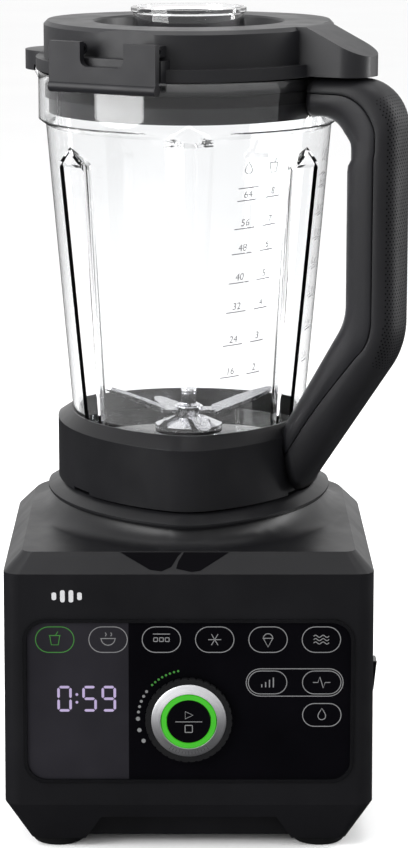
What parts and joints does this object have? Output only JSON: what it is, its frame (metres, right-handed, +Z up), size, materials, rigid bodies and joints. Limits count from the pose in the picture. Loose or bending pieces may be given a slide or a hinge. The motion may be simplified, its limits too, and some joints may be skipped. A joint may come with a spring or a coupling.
{
  "type": "countertop blender",
  "caption": "Countertop blender: square motor base with dial and touch panel, clear tapered jug with side handle, latched lid, measuring cap and steel blades.",
  "frame": {"origin": "on the floor plane, on the common axis of motor, blades and jug", "axes": "+Z up along that axis; the control panel faces -Y; the power switch is on the +X side"},
  "size_m": [0.2114, 0.2018, 0.434],
  "materials": {
    "housing_black": "satin dark plastic",
    "gloss_black": "gloss black",
    "lid_black": "fine matte",
    "rubber_black": "matte rubber",
    "grip_soft": "soft-touch dotted grip",
    "clear_jug": "clear moulded copolyester",
    "clear_cap": "clear moulded plastic",
    "brushed_ring": "radially brushed",
    "blade_steel": "ground stainless steel",
    "chrome": "polished",
    "steel": "zinc plated",
    "motor_iron": "laminated steel",
    "copper": "enamelled copper",
    "board_green": "circuit board",
    "light_green": "green light pipe",
    "nylon_white": "natural nylon",
    "carbon": "pressed carbon",
    "silicone_grey": "silicone"
  },
  "bodies": {
    "base": {"main_housing": "housing_black", "bottom_tray": "housing_black", "top_cover": "housing_black", "rubber_feet": "rubber_black", "base_screws": "steel", "jug_seat_pad": "rubber_black", "splash_seal": "rubber_black", "panel_bezel": "gloss_black", "control_panel": "gloss_black", "display_module": "nylon_white", "control_board": "board_green", "light_ring": "light_green", "dial_encoder": "nylon_white", "start_switch": "gloss_black", "switch_housing": "gloss_black", "cord_inlet": "rubber_black", "power_board": "board_green", "motor_stator": "motor_iron", "field_windings": "copper", "upper_bracket": "steel", "lower_bracket": "steel", "upper_bearing": "steel", "lower_bearing": "steel", "motor_mounts": "rubber_black", "brush_holders": "nylon_white", "carbon_brushes": "carbon", "air_duct": "lid_black"},
    "motor_rotor": {"motor_shaft": "steel", "rotor_core": "motor_iron", "commutator": "copper", "cooling_fan": "nylon_white", "drive_coupling": "lid_black"},
    "dial": {"dial_hub": "lid_black", "dial_ring": "brushed_ring", "dial_grip": "rubber_black"},
    "start_key": {"start_button": "gloss_black"},
    "rocker": {"power_rocker": "gloss_black"},
    "jug_set": {"jug": "clear_jug", "jug_collar": "housing_black", "handle_shell": "lid_black", "handle_grip": "grip_soft", "handle_screws": "steel", "bearing_housing": "chrome", "blade_bearings": "steel", "shaft_seal": "silicone_grey", "blade_gasket": "silicone_grey", "retaining_nut": "lid_black"},
    "blade_set": {"blade_shaft": "steel", "lower_blade": "blade_steel", "upper_blade": "blade_steel", "blade_washer": "chrome", "cap_nut": "chrome", "driven_coupling": "lid_black"},
    "lid_set": {"lid": "lid_black", "lid_seal": "silicone_grey", "latch_pins": "steel"},
    "front_latch_body": {"front_latch": "lid_black"},
    "rear_latch_body": {"rear_latch": "lid_black"},
    "cap": {"measuring_cap": "clear_cap"}
  },
  "joints": [
    {"name": "motor_spin", "type": "hinge", "parent": "base", "child": "motor_rotor", "pos_m": [0, 0, 0.1], "axis": [0, 0, 1], "continuous": true},
    {"name": "dial_turn", "type": "hinge", "parent": "base", "child": "dial", "pos_m": [0, -0.1, 0.0732], "axis": [0, -1, 0], "continuous": true},
    {"name": "start_press", "type": "slide", "parent": "base", "child": "start_key", "axis": [0, 1, 0], "range_m": [0, 0.0015], "stiffness_N_per_m": 600},
    {"name": "power_rock", "type": "hinge", "parent": "base", "child": "rocker", "pos_m": [0.0945, -0.058, 0.086], "axis": [0, -1, 0], "range_deg": [0, 12]},
    {"name": "jug_lift", "type": "slide", "parent": "base", "child": "jug_set", "axis": [0, 0, 1], "range_m": [0, 0.08]},
    {"name": "blade_spin", "type": "hinge", "parent": "jug_set", "child": "blade_set", "pos_m": [0, 0, 0.2], "axis": [0, 0, 1], "continuous": true},
    {"name": "lid_lift", "type": "slide", "parent": "jug_set", "child": "lid_set", "axis": [0, 0, 1], "range_m": [0, 0.06]},
    {"name": "front_latch_swing", "type": "hinge", "parent": "lid_set", "child": "front_latch_body", "pos_m": [-0.04, -0.06928, 0.417], "axis": [-0.866, 0.5, 0], "range_deg": [0, 25]},
    {"name": "rear_latch_swing", "type": "hinge", "parent": "lid_set", "child": "rear_latch_body", "pos_m": [0.04, 0.06928, 0.417], "axis": [0.866, -0.5, 0], "range_deg": [0, 25]},
    {"name": "cap_lift", "type": "slide", "parent": "lid_set", "child": "cap", "axis": [0, 0, 1], "range_m": [0, 0.06]}
  ],
  "couplings": [
    {"joint": "blade_spin", "follows": "motor_spin", "ratio": 1}
  ]
}
